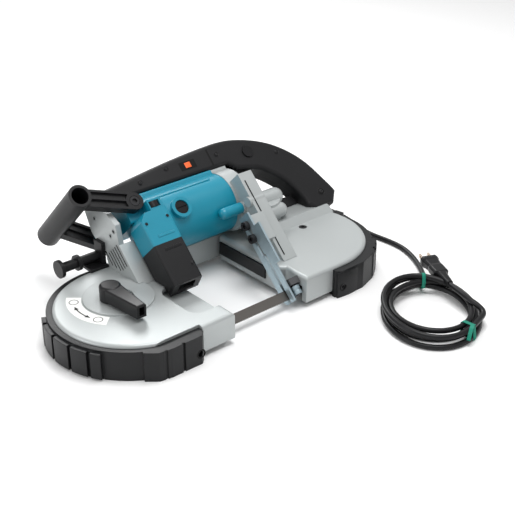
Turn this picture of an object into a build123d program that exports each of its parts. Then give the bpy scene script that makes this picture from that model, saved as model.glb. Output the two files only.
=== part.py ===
from build123d import *
import math
import os

# Portable deep-cut band saw lying on its wheel side.  Millimetres, +Z up.
# Two frames are used.  The lying frame is the row frame before its origin is
# moved: X runs from the idler wheel to the drive wheel, Z is up from the floor.
# The upright frame is the saw as it is held in use, leaned back by 45 degrees
# about X: x stays, s is the side away from the blade, v is up in use.

# ---------------------------------------------------------------- driving sizes
BLADE_LENGTH = 1140.0
BLADE_WIDTH = 13.0
BLADE_THICKNESS = 0.5
BLADE_GAP = 0.3
IDLER_X = -154.0
DRIVE_X = 150.0
BLADE_RADIUS = (BLADE_LENGTH / 2 - (DRIVE_X - IDLER_X)) / math.pi - BLADE_THICKNESS / 2
TYRE_RADIUS = BLADE_RADIUS - BLADE_GAP
TYRE_THICKNESS = 2.0
WHEEL_LOW = 12.0
WHEEL_HIGH = 28.0
BLADE_Z = (WHEEL_LOW + WHEEL_HIGH) / 2

LEAN_DEGREES = 45.0
LEFT = -140.0    # centre of the idler housing's round end
RIGHT = 140.0    # centre of the drive housing's round end

HOUSING_LOW = 8.0
IDLER_TOP = 45.0
DRIVE_TOP = 46.0
HOUSING_WALL = 3.5
DRIVE_RADIUS = 102.0
BACK_Y = 106.0
LEFT_THROAT_X = -61.0
RIGHT_THROAT_X = 68.0
THROAT_WALL_X = 61.3
REAR_THROAT_X = 78.0

BUMPER_TOP = 41.0
BUMPER_THICKNESS = 8.0

MOTOR_Y = 90.0
MOTOR_Z = 88.0
MOTOR_RADIUS = 42.5
MOTOR_WALL = 3.5
MOTOR_LEFT = -60.0
MOTOR_RIGHT = 74.0
FIT = 0.05

ROOT2 = math.sqrt(2)
MOTOR_S = (MOTOR_Y - MOTOR_Z) / ROOT2
MOTOR_V = (MOTOR_Y + MOTOR_Z) / ROOT2
HANDLE_HALF = 18.0
SEAM_V = 171.0


# ---------------------------------------------------------------- small helpers
def block(x0, x1, y0, y1, z0, z1):
    """Box between two corners."""
    size = (x1 - x0, y1 - y0, z1 - z0)
    return Pos((x0 + x1) / 2, (y0 + y1) / 2, (z0 + z1) / 2) * Box(*size)


def rod_z(x, y, z0, z1, radius):
    return Pos(x, y, (z0 + z1) / 2) * Cylinder(radius, z1 - z0)


def rod_x(x0, x1, y, z, radius):
    return Pos((x0 + x1) / 2, y, z) * Rot(0, 90, 0) * Cylinder(radius, x1 - x0)


def rod_y(y0, y1, x, z, radius):
    return Pos(x, (y0 + y1) / 2, z) * Rot(90, 0, 0) * Cylinder(radius, y1 - y0)


def ring_z(x, y, z0, z1, outer, inner):
    return rod_z(x, y, z0, z1, outer) - rod_z(x, y, z0, z1, inner)


def ring_x(x0, x1, y, z, outer, inner):
    return rod_x(x0, x1, y, z, outer) - rod_x(x0, x1, y, z, inner)


def upright(shape):
    """Lean a shape built in the upright (x, s, v) frame into the lying frame."""
    return Rot(-LEAN_DEGREES, 0, 0) * shape


def plan(points, z0, z1):
    """Extrude an outline given as lying-frame (x, y) points."""
    face = make_face(Polyline(*points, close=True))
    return Pos(0, 0, z0) * extrude(face, z1 - z0)


def profile_yz(points, x0, x1):
    """Extrude an outline given as lying-frame (y, z) points along X."""
    face = Plane.YZ.offset(x0) * make_face(Polyline(*points, close=True))
    return extrude(face, x1 - x0, dir=(1, 0, 0))


def profile_xv(wire_or_points, s0, s1):
    """Extrude an upright (x, v) outline from side s0 to side s1, still upright."""
    wire = wire_or_points
    if isinstance(wire_or_points, list):
        wire = Polyline(*wire_or_points, close=True)
    flat = Plane(origin=(0, s0, 0), x_dir=(1, 0, 0), z_dir=(0, -1, 0))
    face = flat * make_face(wire)
    return extrude(face, s1 - s0, dir=(0, 1, 0))


def lying_point(x, s, v):
    """The lying-frame place of an upright point."""
    return (x, (v + s) / ROOT2, (v - s) / ROOT2)


def gear_blank(teeth, module, width, fill):
    """Straight-toothed gear along +Z, one tooth on +X; fill is tooth over pitch."""
    pitch_radius = teeth * module / 2
    tip = pitch_radius + 0.75 * module
    root = pitch_radius - 1.15 * module
    pitch = 2 * math.pi / teeth
    corners = []
    for tooth in range(teeth):
        middle = tooth * pitch
        for radius, part in ((root, -0.62), (tip, -0.30), (tip, 0.30), (root, 0.62)):
            angle = middle + part * fill * pitch
            corners.append((radius * math.cos(angle), radius * math.sin(angle)))
    return extrude(make_face(Polyline(*corners, close=True)), width)


def gear_z(x, y, z0, teeth, module, width, fill, turn):
    return Pos(x, y, z0) * Rot(0, 0, math.degrees(turn)) * gear_blank(teeth, module, width, fill)


def gear_x(x0, y, z, teeth, module, width, fill, turn):
    """Gear along +X; turn is measured from -Z towards +Y."""
    tooth_side = Rot(0, 90, 0) * Rot(0, 0, math.degrees(turn))
    return Pos(x0, y, z) * tooth_side * gear_blank(teeth, module, width, fill)


def hex_socket_bolt(head_radius, head_height, shank_radius, shank_length):
    """Bolt along +Z with its head above z = 0."""
    head = Pos(0, 0, head_height / 2) * Cylinder(head_radius, head_height)
    socket = extrude(Pos(0, 0, head_height) * RegularPolygon(head_radius * 0.55, 6), -head_height * 0.6)
    shank = Pos(0, 0, -shank_length / 2) * Cylinder(shank_radius, shank_length)
    return head - socket + shank


# ---------------------------------------------------------------- frame castings
def idler_outline(inset):
    """Plan of the idler housing, drawn in by inset, as a face at z = 0."""
    half = BACK_Y - inset
    disc = Pos(LEFT, 0) * Circle(half) - Pos(LEFT + 100, 0) * Rectangle(200, 400)
    width = LEFT_THROAT_X - inset - LEFT
    return disc + Pos(LEFT + width / 2, 0) * Rectangle(width, 2 * half)


def shelf_space(inset):
    """Room cut out of the idler housing's front for the thick bumper cap."""
    return block(-240, -113 + inset, -140, SHELF_Y + inset, -10, 80)


def drive_outline(inset):
    """Plan of the drive housing, drawn in by inset, as a face at z = 0."""
    half = DRIVE_RADIUS - inset
    front_x = RIGHT_THROAT_X + inset
    rear_x = REAR_THROAT_X + inset
    disc = Pos(RIGHT, 0) * Circle(half) - Pos(RIGHT - 100, 0) * Rectangle(200, 400)
    wall_x = THROAT_WALL_X + inset
    tongue = make_face(Polyline(
        (RIGHT, -half), (front_x, -half), (front_x, -60), (wall_x, -52), (wall_x, 74 - inset),
        (rear_x, 79.5 - inset), (rear_x, half), (RIGHT, half), close=True))
    return disc + tongue


SHELF_Y = -98.0
BRIDGE_FRONT_Y = 80.0
BRIDGE_HOLLOW_Y = 82.5
SCREW_RADIUS = 2.0
BUMPER_SCREWS = ((-124.0, 15.0), (128.0, 15.0))
PLUG_SCREW = (169.6, 14.1)
SCOOP_FLOOR = 35.0
SLIDER_Y = (-15.0, 37.0)
SLIDER_Z = (33.0, 37.0)
LEVER_X = -162.0
LEVER_Y = 22.0
LEVER_SHAFT_RADIUS = 6.0
RING_RADIUS = 47.0


def idler_housing():
    """Open-bottomed casting over the idler wheel, with the lever's ring boss."""
    shell = Pos(0, 0, HOUSING_LOW) * extrude(idler_outline(0), IDLER_TOP - HOUSING_LOW)
    shell = fillet(shell.faces().sort_by(Axis.Z)[-1].edges(), 5.0)
    shell = shell - shelf_space(0)
    hollow = Pos(0, 0, HOUSING_LOW) * extrude(idler_outline(HOUSING_WALL), 31.5) - shelf_space(HOUSING_WALL)
    scoop = block(-103, -50, -78, 4, SCOOP_FLOOR, 60)
    scoop = fillet(scoop.edges().filter_by(Axis.Z).group_by(Axis.X)[0], 18.0)
    scoop_floor = block(-106, LEFT_THROAT_X - 1, -81, 7, SCOOP_FLOOR - 3.5, SCOOP_FLOOR)
    casting = shell - hollow
    casting = casting + scoop_floor - scoop
    casting = casting + ring_z(-150, LEVER_Y, IDLER_TOP - 1, IDLER_TOP + 2.5, RING_RADIUS, 20)
    casting = casting + rod_z(LEVER_X, LEVER_Y, IDLER_TOP - 1, IDLER_TOP + 1.5, 22)
    for low, high in ((SLIDER_Y[0] - 5.3, SLIDER_Y[0] - 0.3), (SLIDER_Y[1] + 0.3, SLIDER_Y[1] + 5.3)):
        casting = casting + block(-204, -112, low, high, SLIDER_Z[0], IDLER_TOP - 2)
    casting = casting - rod_z(LEVER_X, LEVER_Y, 30, 60, LEVER_SHAFT_RADIUS + FIT)
    casting = casting - rod_y(-99, -90, *BUMPER_SCREWS[0], SCREW_RADIUS)
    blade_way = block(-75, -60, -93, -76, 0, 30)
    back_way = block(-75, -60, BRIDGE_HOLLOW_Y, 102, 0, 34)
    return casting - blade_way - back_way


def drive_housing():
    """Open-bottomed casting over the drive wheel, with the raised back ledge."""
    shell = Pos(0, 0, HOUSING_LOW) * extrude(drive_outline(0), DRIVE_TOP - HOUSING_LOW)
    shell = fillet(shell.faces().sort_by(Axis.Z)[-1].edges(), 5.0)
    hollow = Pos(0, 0, HOUSING_LOW) * extrude(drive_outline(HOUSING_WALL), DRIVE_TOP - HOUSING_LOW - 4)
    ledge_disc = Pos(0, 0, DRIVE_TOP - 6) * extrude(Pos(RIGHT, 0) * Circle(DRIVE_RADIUS), LEDGE_TOP - DRIVE_TOP + 6)
    keep = profile_yz([(22, DRIVE_TOP), (32, LEDGE_TOP), (110, LEDGE_TOP), (110, 36), (22, 36)], LEDGE_LEFT, 250)
    ledge_hollow = Pos(0, 0, 20) * extrude(Pos(RIGHT, 0) * Circle(DRIVE_RADIUS - 5), LEDGE_TOP - 24)
    keep_hollow = profile_yz([(27, 42), (37, LEDGE_TOP - 4), (110, LEDGE_TOP - 4), (110, 30), (27, 30)],
                             LEDGE_LEFT + 4, 250)
    casting = shell - hollow + (ledge_disc & keep) - (ledge_hollow & keep_hollow)
    for x, y, z1, outer in ((DRIVE_X, 0, DRIVE_TOP, 22), (LAY_X, LAY_Y, LEDGE_TOP, LAY_BOSS)):
        casting = casting + rod_z(x, y, 39, z1, outer)
    casting = casting - rod_z(DRIVE_X, 0, 30, 44, 17)
    casting = casting - rod_z(LAY_X, LAY_Y, 30, 70, 13)
    casting = casting - rod_z(*PLUG_SCREW, 43, 60, 6.2) - rod_z(*PLUG_SCREW, 30, 60, 2.5)
    casting = casting - rod_y(-103, -90, *BUMPER_SCREWS[1], SCREW_RADIUS)
    blade_way = block(60, 84, -93, -76, 0, 30)
    back_way = block(70, 90, BRIDGE_HOLLOW_Y, 98, 0, 34)
    return casting - blade_way - back_way


def bridge():
    """Channel that joins the two housings behind the throat and covers the back run."""
    channel = block(LEFT_THROAT_X, REAR_THROAT_X, BRIDGE_FRONT_Y, BACK_Y, HOUSING_LOW, 43)
    return channel - block(-70, 90, BRIDGE_HOLLOW_Y, 102, 0, 39)


LEDGE_TOP = 56.0
LEDGE_LEFT = 128.0
LAY_BOSS = 17.0
ARM_X = (77.0, 101.0)
ARM_S = -66.0
ARM_TOP_V = 138.0


def guide_arm():
    """Leaning box rib from the gear case down to the blade guide, with the stop's pad."""
    base_v = DRIVE_TOP * ROOT2
    slab = profile_yz([
        lying_point(0, ARM_S, base_v + ARM_S)[1:], lying_point(0, ARM_S, ARM_TOP_V)[1:],
        lying_point(0, -25, ARM_TOP_V)[1:], lying_point(0, -25, base_v - 25)[1:]], *ARM_X)
    pocket = profile_yz([
        lying_point(0, ARM_S + 5, base_v + ARM_S + 16)[1:], lying_point(0, ARM_S + 5, ARM_TOP_V - 5)[1:],
        lying_point(0, -30, ARM_TOP_V - 5)[1:], lying_point(0, -30, base_v - 20)[1:]], ARM_X[0] + 6, ARM_X[1] + 1)
    boss = upright(rod_x(74, ARM_X[1], -41, 97, 8) + rod_x(74, ARM_X[1], -59, 97, 7.5))
    pad = upright(block(STOP_X[1] + 0.3, ARM_X[0], -78, -56, 34, 74))
    arm = slab - pocket + boss + pad
    for v in STOP_BOLT_V:
        arm = arm - upright(rod_x(40, 72, STOP_BOLT_S, v, 3.0))
    return arm - gear_case_outer()


def gear_case_outer():
    barrel = rod_x(MOTOR_RIGHT, 100, MOTOR_Y, MOTOR_Z, MOTOR_RADIUS + 1)
    swell = rod_x(MOTOR_RIGHT, 100, MID_Y, MID_Z, 27)
    saddle = upright(block(MOTOR_RIGHT, 100, MOTOR_S - 16, MOTOR_S + 16, 150, 163))
    flange = upright(block(MOTOR_RIGHT, 104, MOTOR_S - 14, MOTOR_S + 14, 163, SEAM_V))
    return barrel + swell + saddle + flange


def gear_case():
    """Cast case over the first reduction, with the spider of the armature's right bearing."""
    inside = rod_x(MOTOR_RIGHT - 1, 96, MOTOR_Y, MOTOR_Z, 38.5) + rod_x(MOTOR_RIGHT + 4, 96, MID_Y, MID_Z, 23.5)
    spider = ring_x(MOTOR_RIGHT - 4, MOTOR_RIGHT + 2, MOTOR_Y, MOTOR_Z, MOTOR_RADIUS - MOTOR_WALL, 12)
    below = block(60, 120, 0, 150, 0, DRIVE_TOP)
    return gear_case_outer() - inside - rod_x(90, 104, MID_Y, MID_Z, 9) + spider - below


def crown_case():
    """Domed case over the crown gear, standing on the drive housing's ledge."""
    drum = rod_z(LAY_X, LAY_Y, DRIVE_TOP, 82, 26.5)
    neck = rod_x(100, 160, MID_Y, MID_Z, 13) + Pos(160, MID_Y, MID_Z) * Sphere(13)
    lower = rod_x(ARM_X[1], 152, 46, 68, 11.5) + Pos(152, 46, 68) * Sphere(11.5)
    root = block(ARM_X[1], 150, 40, 80, DRIVE_TOP, 68)
    case = drum + neck + lower + root
    case = case - rod_z(LAY_X, LAY_Y, 63, 78, 22.5) - rod_z(LAY_X, LAY_Y, 40, 64, 13)
    case = case - rod_x(90, CROSS_BEARING_X[1], MID_Y, MID_Z, 9)
    ledge_seat = block(LEDGE_LEFT, 200, 32, 110, 0, LEDGE_TOP)
    ledge_seat = ledge_seat + profile_yz([(22, 46), (32, LEDGE_TOP), (33, LEDGE_TOP), (33, 30), (22, 30)],
                                         LEDGE_LEFT, 200)
    return case - ledge_seat - rod_z(LAY_X, LAY_Y, 30, LEDGE_TOP, LAY_BOSS)


VENT_X = (-112.0, -104.0)


def vent_gusset():
    """Slotted upright plate that ties the motor's left end to the idler housing."""
    outline = [(28, IDLER_TOP), (72, 89), (78, 116), (98, 125), (140, 128), (152, 112),
               (138, 84), (104, 60), (100, IDLER_TOP)]
    plate = profile_yz(outline, *VENT_X)
    plate = plate + block(VENT_X[1], -78, 56, 100, IDLER_TOP, 52)
    plate = plate + profile_yz([(28, IDLER_TOP), (72, 89), (75, 86), (34, IDLER_TOP)], VENT_X[1], -88)
    for slot in range(6):
        s = -5 + slot * 6.6
        low = max(84, IDLER_TOP * ROOT2 + s + 8)
        plate = plate - upright(block(VENT_X[0] - 1, VENT_X[1] + 1, s - 1.7, s + 1.7, low, 117))
    return plate - rod_z(-150, LEVER_Y, IDLER_TOP - 1, IDLER_TOP + 2.5, RING_RADIUS)


# ---------------------------------------------------------------- rubber bumpers
def raised_pad(centre_x, angle0, angle1, inner, outer, z0, z1):
    """Sector of a ring round a wheel centre, between two angles in degrees."""
    sweep = angle1 - angle0
    section = Plane.XZ * Pos((inner + outer) / 2, (z0 + z1) / 2) * Rectangle(outer - inner, z1 - z0)
    sector = revolve(section, Axis.Z, sweep)
    return Pos(centre_x, 0, 0) * Rot(0, 0, angle0) * sector


def idler_bumper():
    """Rubber band round the idler housing, with a screwed cap beside the throat."""
    outer = Pos(LEFT, 0) * Circle(BACK_Y + BUMPER_THICKNESS)
    band = extrude(outer, BUMPER_TOP) & block(-270, -122, -130, 130, 0, BUMPER_TOP)
    cap = plan([(-200, -101), (-186, -113), (-168, -116), (-122, -116), (-114, -109), (-114, -90), (-190, -80)],
               0, BUMPER_TOP)
    cap = fillet(cap.edges().filter_by(Axis.Z).sort_by(Axis.X)[-2:], 6.0)
    pad = raised_pad(LEFT, 152, 214, 105, BACK_Y + 14, 3, BUMPER_TOP - 3)
    body = band + cap + pad
    for angle in (160, 176, 192, 206):
        body = body - raised_pad(LEFT, angle - 1.2, angle + 1.2, BACK_Y + 9, BACK_Y + 16, 0, 60)
    for x in (-176, -150):
        body = body - block(x - 2, x + 2, -120, -113.5, -1, 60)
    body = body - (extrude(idler_outline(0), 60) - shelf_space(0))
    lip = Pos(0, 0, 1) * extrude(idler_outline(-1) - idler_outline(14), HOUSING_LOW - 1)
    lip = lip & block(-270, -124, -120, 120, 0, HOUSING_LOW)
    hole = rod_y(-118, -96, -124, 15, 4.5)
    return body + lip - hole


def throat_strip():
    """Dark strip along the throat side of the drive housing."""
    return block(THROAT_WALL_X - 2.2, THROAT_WALL_X, -27, 72, 17, 36)


def drive_bumper():
    """Rubber band round the drive housing, with a screwed cap beside the throat."""
    outer = Pos(RIGHT, 0) * Circle(DRIVE_RADIUS + BUMPER_THICKNESS + 4)
    band = extrude(outer, BUMPER_TOP - 3) & block(118, 270, -130, 112, 0, BUMPER_TOP)
    cap = plan([(117, -90), (117, -107), (125, -113), (166, -113), (196, -103), (220, -84), (205, -60)],
               0, BUMPER_TOP)
    pad = raised_pad(RIGHT, -62, -38, 98, DRIVE_RADIUS + 16, 3, BUMPER_TOP - 2)
    pad = pad + raised_pad(RIGHT, 8, 40, 98, DRIVE_RADIUS + 15.5, 3, BUMPER_TOP)
    body = band + cap + pad
    for angle in (-46, -54, 16, 28):
        body = body - raised_pad(RIGHT, angle - 1.2, angle + 1.2, DRIVE_RADIUS + 11, DRIVE_RADIUS + 18, 0, 60)
    body = body - extrude(drive_outline(0), 60)
    lip = Pos(0, 0, 1) * extrude(drive_outline(-1) - drive_outline(12), HOUSING_LOW - 1)
    lip = lip & block(119, 270, -120, 112, 0, HOUSING_LOW)
    hole = rod_y(-118, -96, 128, 15, 4.5)
    return body + lip - hole


# ---------------------------------------------------------------- blade and guides
GUIDE_X = 60.5
LEFT_TWIST = (-138.0, -84.0)
RIGHT_TWIST = (76.0, 136.0)
BLADE_Y = -(BLADE_RADIUS + BLADE_THICKNESS / 2)
BLADE_S = (BLADE_Y - BLADE_Z) / ROOT2
BLADE_V = (BLADE_Y + BLADE_Z) / ROOT2
ROLLER_RADIUS = 6.5
ROLLER_LENGTH = 12.0


def blade_section(x, angle):
    """Blade cross-section at x, turned by angle degrees from standing to leaning."""
    place = Plane(origin=(x, BLADE_Y, BLADE_Z), x_dir=(0, 1, 0), z_dir=(1, 0, 0))
    return place * Rot(0, 0, angle) * Rectangle(BLADE_THICKNESS, BLADE_WIDTH)


def twist(x0, x1, angle0, angle1, steps=5):
    """Length of blade that turns evenly about its middle line."""
    sections = []
    for step in range(steps + 1):
        part = step / steps
        sections.append(blade_section(x0 + part * (x1 - x0), angle0 + part * (angle1 - angle0)))
    return loft(sections, ruled=True)


def blade():
    """Endless toothed band: two half turns, two straight runs and two twisted lengths."""
    low = BLADE_Z - BLADE_WIDTH / 2
    high = BLADE_Z + BLADE_WIDTH / 2
    outer = BLADE_RADIUS + BLADE_THICKNESS
    left_turn = ring_z(IDLER_X, 0, low, high, outer, BLADE_RADIUS) & block(-300, IDLER_X, -120, 120, 0, 60)
    right_turn = ring_z(DRIVE_X, 0, low, high, outer, BLADE_RADIUS) & block(DRIVE_X, 300, -120, 120, 0, 60)
    back_run = block(IDLER_X, DRIVE_X, BLADE_RADIUS, outer, low, high)
    left_run = block(IDLER_X, LEFT_TWIST[0], -outer, -BLADE_RADIUS, low, high)
    right_run = block(RIGHT_TWIST[1], DRIVE_X, -outer, -BLADE_RADIUS, low, high)
    left_twist = twist(*LEFT_TWIST, 0, -LEAN_DEGREES)
    right_twist = twist(*RIGHT_TWIST, -LEAN_DEGREES, 0)
    half = BLADE_THICKNESS / 2
    cut_run = upright(block(LEFT_TWIST[1], RIGHT_TWIST[0], BLADE_S - half, BLADE_S + half,
                            BLADE_V - BLADE_WIDTH / 2, BLADE_V + BLADE_WIDTH / 2))
    return [left_turn, right_turn, back_run, left_run, right_run, left_twist, right_twist, cut_run]


ROLLER_OFFSET = BLADE_THICKNESS / 2 + BLADE_GAP + ROLLER_RADIUS
PIN_RADIUS = 2.5


def roller_axis(side):
    """Side position s of a guide roller, side -1 nearest the blade's open side."""
    return BLADE_S + side * ROLLER_OFFSET


def guide_roller(side):
    s = roller_axis(side)
    low = BLADE_V - ROLLER_LENGTH / 2
    roller = rod_z(GUIDE_X, s, low, low + ROLLER_LENGTH, ROLLER_RADIUS)
    groove = ring_z(GUIDE_X, s, BLADE_V - 1, BLADE_V + 1, ROLLER_RADIUS + 1, ROLLER_RADIUS - 0.6)
    return upright(roller - groove - rod_z(GUIDE_X, s, low - 1, low + 20, PIN_RADIUS + FIT))


def right_guide():
    """Holder on the drive housing that carries two rollers and a back pad."""
    back = BLADE_V + BLADE_WIDTH / 2
    s0 = BLADE_S - 15
    s1 = BLADE_S + 15
    head = block(GUIDE_X - 9, RIGHT_THROAT_X, s0, s1, back + 1.5, back + 11)
    pad = block(GUIDE_X - 4, GUIDE_X + 4, BLADE_S - 3, BLADE_S + 3, back + BLADE_GAP, back + 2)
    holder = head + pad
    for side in (-1, 1):
        s = roller_axis(side)
        holder = holder + rod_z(GUIDE_X, s, BLADE_V - ROLLER_LENGTH / 2 - 1.5, back + 3, PIN_RADIUS)
        holder = holder + rod_z(GUIDE_X, s, BLADE_V - ROLLER_LENGTH / 2 - 1.5, BLADE_V - ROLLER_LENGTH / 2 - 0.3, 3.6)
    return upright(holder)


LEFT_GUIDE_X = (-84.0, -74.0)


def left_guide():
    """Fixed carbide jaws and back pad that twist the blade where it leaves the idler side."""
    back = BLADE_V + BLADE_WIDTH / 2
    gap = BLADE_THICKNESS / 2 + BLADE_GAP
    x0, x1 = LEFT_GUIDE_X
    block_up = block(x0, x1, BLADE_S - 9, BLADE_S + 9, back + BLADE_GAP, back + 12)
    front_jaw = block(x0, x1, BLADE_S - 7, BLADE_S - gap, back - 9, back + 2)
    back_jaw = block(x0, x1, BLADE_S + gap, BLADE_S + 7, back - 9, back + 2)
    holder = upright(block_up + front_jaw + back_jaw)
    stem = block(x0, x1, -90, -82, 26, 39.5)
    cut_away = block(x0 - 1, x1 + 1, -140, 0, 39.5, 80) + block(x0 - 1, x1 + 1, -81, 10, SCOOP_FLOOR - 3.5, 80)
    return holder + stem - cut_away - blade_clearance()


def blade_clearance():
    """Space kept free round the leaning length of blade."""
    half = BLADE_THICKNESS / 2 + BLADE_GAP
    return upright(block(-90, 90, BLADE_S - half, BLADE_S + half,
                         BLADE_V - BLADE_WIDTH / 2 - 3, BLADE_V + BLADE_WIDTH / 2 + BLADE_GAP))


# ---------------------------------------------------------------- idler side motion
TENSION_TRAVEL = 5.0


RIM_INNER = 74.0


def wheel(x, low, high, bore):
    """Cast wheel with a rim, a drilled web and a hub."""
    rim = ring_z(x, 0, WHEEL_LOW, WHEEL_HIGH, TYRE_RADIUS - TYRE_THICKNESS, RIM_INNER)
    web = ring_z(x, 0, WHEEL_LOW + 6, WHEEL_LOW + 11, RIM_INNER + 1, bore)
    hub = ring_z(x, 0, low, high, 20, bore)
    body = rim + web + hub
    for spoke in range(6):
        angle = math.radians(60 * spoke + 30)
        hole = rod_z(x + 47 * math.cos(angle), 47 * math.sin(angle), WHEEL_LOW + 4, WHEEL_LOW + 13, 15)
        rib = Pos(x, 0, 0) * Rot(0, 0, 60 * spoke) * block(19.5, RIM_INNER + 1, -2.5, 2.5, WHEEL_LOW + 3,
                                                         WHEEL_LOW + 13)
        body = body - hole + rib
    return body


def tyre(x):
    return ring_z(x, 0, WHEEL_LOW, WHEEL_HIGH, TYRE_RADIUS, TYRE_RADIUS - TYRE_THICKNESS)


AXLE_RADIUS = 6.0


def tension_slider():
    """Plate that slides in the idler housing's rails and carries the idler axle."""
    plate = block(-196, -120, *SLIDER_Y, *SLIDER_Z)
    slot = block(LEVER_X - TENSION_TRAVEL, LEVER_X, LEVER_Y - 8.5, LEVER_Y + 8.5, 30, 40)
    for x in (LEVER_X - TENSION_TRAVEL, LEVER_X):
        slot = slot + rod_z(x, LEVER_Y, 30, 40, 8.5)
    return plate - slot - rod_z(IDLER_X, 0, 30, 40, AXLE_RADIUS)


def idler_axle():
    """Pin fixed in the slider, with a screwed washer under the idler wheel."""
    seat = rod_z(IDLER_X, 0, SLIDER_Z[0], SLIDER_Z[1], AXLE_RADIUS)
    shoulder = rod_z(IDLER_X, 0, 27.8, SLIDER_Z[0], 8.5)
    journal = rod_z(IDLER_X, 0, 11.0, 28, AXLE_RADIUS - FIT)
    washer = rod_z(IDLER_X, 0, 9.7, 11.7, 10)
    screw = extrude(Pos(IDLER_X, 0, 6.7) * RegularPolygon(5.5, 6), 3.2)
    return seat + shoulder + journal + washer + screw


def idler_bearings():
    return [ring_z(IDLER_X, 0, z, z + 7, 13, AXLE_RADIUS) for z in (12.0, 20.5)]


def tension_shaft():
    """Lever shaft with the cam that pushes the slider."""
    shaft = rod_z(LEVER_X, LEVER_Y, 32, 66, LEVER_SHAFT_RADIUS)
    return shaft + rod_z(LEVER_X, LEVER_Y, 31, 37.4, 7.8)


LEVER_LOW = 48.5
LEVER_TIP_Y = -46.0


def tension_lever():
    """Moulded lever: a round hub and a straight arm with a hollow end."""
    hub = rod_z(LEVER_X, LEVER_Y, LEVER_LOW, 70, 14.5)
    hub = fillet(hub.edges().group_by(Axis.Z)[-1], 4.0)
    arm = plan([(LEVER_X - 13, LEVER_Y - 4), (LEVER_X - 6.5, LEVER_TIP_Y), (LEVER_X + 7.5, LEVER_TIP_Y),
                (LEVER_X + 13, LEVER_Y - 4)], 50.5, 68.5)
    arm = fillet(arm.edges().group_by(Axis.Z)[-1], 2.5)
    lever = hub + arm
    lever = lever - block(LEVER_X - 3, LEVER_X + 4.5, LEVER_TIP_Y - 1, LEVER_TIP_Y + 10, 53.5, 65.5)
    return lever - rod_z(LEVER_X, LEVER_Y, 40, 66, LEVER_SHAFT_RADIUS)


# ---------------------------------------------------------------- gear train
FINAL_MODULE = 1.75
FINAL_TEETH = 65
LAY_TEETH = 13
CROWN_MODULE = 1.25
CROWN_TEETH = 30
CROWN_PINION_TEETH = 10
FIRST_MODULE = 1.0
FIRST_GEAR_TEETH = 42
FIRST_PINION_TEETH = 7
TOOTH_FILL = 0.62

MID_Z = 80.0
FIRST_CENTRES = FIRST_MODULE * (FIRST_GEAR_TEETH + FIRST_PINION_TEETH) / 2
MID_Y = MOTOR_Y - math.sqrt(FIRST_CENTRES ** 2 - (MOTOR_Z - MID_Z) ** 2)
FINAL_CENTRES = FINAL_MODULE * (FINAL_TEETH + LAY_TEETH) / 2
LAY_Y = MID_Y
LAY_X = DRIVE_X - math.sqrt(FINAL_CENTRES ** 2 - LAY_Y ** 2)
CROSS_BEARING_X = (159.0, 165.0)
CROWN_RADIUS = CROWN_MODULE * CROWN_TEETH / 2
CROWN_PINION_RADIUS = CROWN_MODULE * CROWN_PINION_TEETH / 2
CROWN_PITCH_Z = MID_Z - CROWN_PINION_RADIUS
SHAFT = 4.0


def drive_wheel():
    return wheel(DRIVE_X, 10, 31, 8)


def drive_shaft():
    shaft = rod_z(DRIVE_X, 0, 8, 44, 8)
    nut = extrude(Pos(DRIVE_X, 0, 5) * RegularPolygon(10, 6), 5)
    return shaft + nut


def final_gear():
    toward = math.atan2(LAY_Y, LAY_X - DRIVE_X)
    gear = gear_z(DRIVE_X, 0, 31, FINAL_TEETH, FINAL_MODULE, 7, TOOTH_FILL * 0.72, toward)
    gear = gear - rod_z(DRIVE_X, 0, 30, 40, 8)
    for hole in range(5):
        angle = toward + math.radians(36 + 72 * hole)
        gear = gear - rod_z(DRIVE_X + 33 * math.cos(angle), 33 * math.sin(angle), 30, 40, 11)
    return gear


def layshaft():
    """Upright shaft with the final pinion cut on it."""
    back = math.atan2(-LAY_Y, DRIVE_X - LAY_X)
    gap_turn = back + math.pi / LAY_TEETH
    pinion = gear_z(LAY_X, LAY_Y, 30.5, LAY_TEETH, FINAL_MODULE, 8, TOOTH_FILL * 0.72, gap_turn)
    return pinion + rod_z(LAY_X, LAY_Y, 29.5, 68, 6)


def crown_gear():
    """Disc with radial teeth on its upper face."""
    disc = rod_z(LAY_X, LAY_Y, 65, CROWN_PITCH_Z - 1.7, CROWN_RADIUS + 2.6)
    hub = rod_z(LAY_X, LAY_Y, 63.4, 70.5, 11)
    gear = disc + hub
    top = CROWN_PITCH_Z + 0.75
    for tooth in range(CROWN_TEETH):
        angle = 180 + tooth * 360 / CROWN_TEETH
        bar = block(CROWN_RADIUS - 2.5, CROWN_RADIUS + 2.4, -0.62, 0.62, 70, top)
        gear = gear + Pos(LAY_X, LAY_Y, 0) * Rot(0, 0, angle) * bar
    return gear - rod_z(LAY_X, LAY_Y, 60, 80, 6)


def intermediate_shaft():
    """Cross shaft with the crown pinion cut on it."""
    x = LAY_X - CROWN_RADIUS
    gap_turn = math.pi / CROWN_PINION_TEETH
    pinion = gear_x(x - 2.3, MID_Y, MID_Z, CROWN_PINION_TEETH, CROWN_MODULE, 4.6, 0.42, gap_turn)
    return pinion + rod_x(84, CROSS_BEARING_X[1] - 0.5, MID_Y, MID_Z, SHAFT)


def first_mesh_turn():
    """Turn of the direction from the cross shaft to the armature, from -Z towards +Y."""
    return math.atan2(MOTOR_Y - MID_Y, -(MOTOR_Z - MID_Z))


def reduction_gear():
    gear = gear_x(85.5, MID_Y, MID_Z, FIRST_GEAR_TEETH, FIRST_MODULE, 7, TOOTH_FILL * 0.7, first_mesh_turn())
    return gear - rod_x(80, 100, MID_Y, MID_Z, SHAFT) - ring_x(84, 87, MID_Y, MID_Z, 17, 8)


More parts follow.
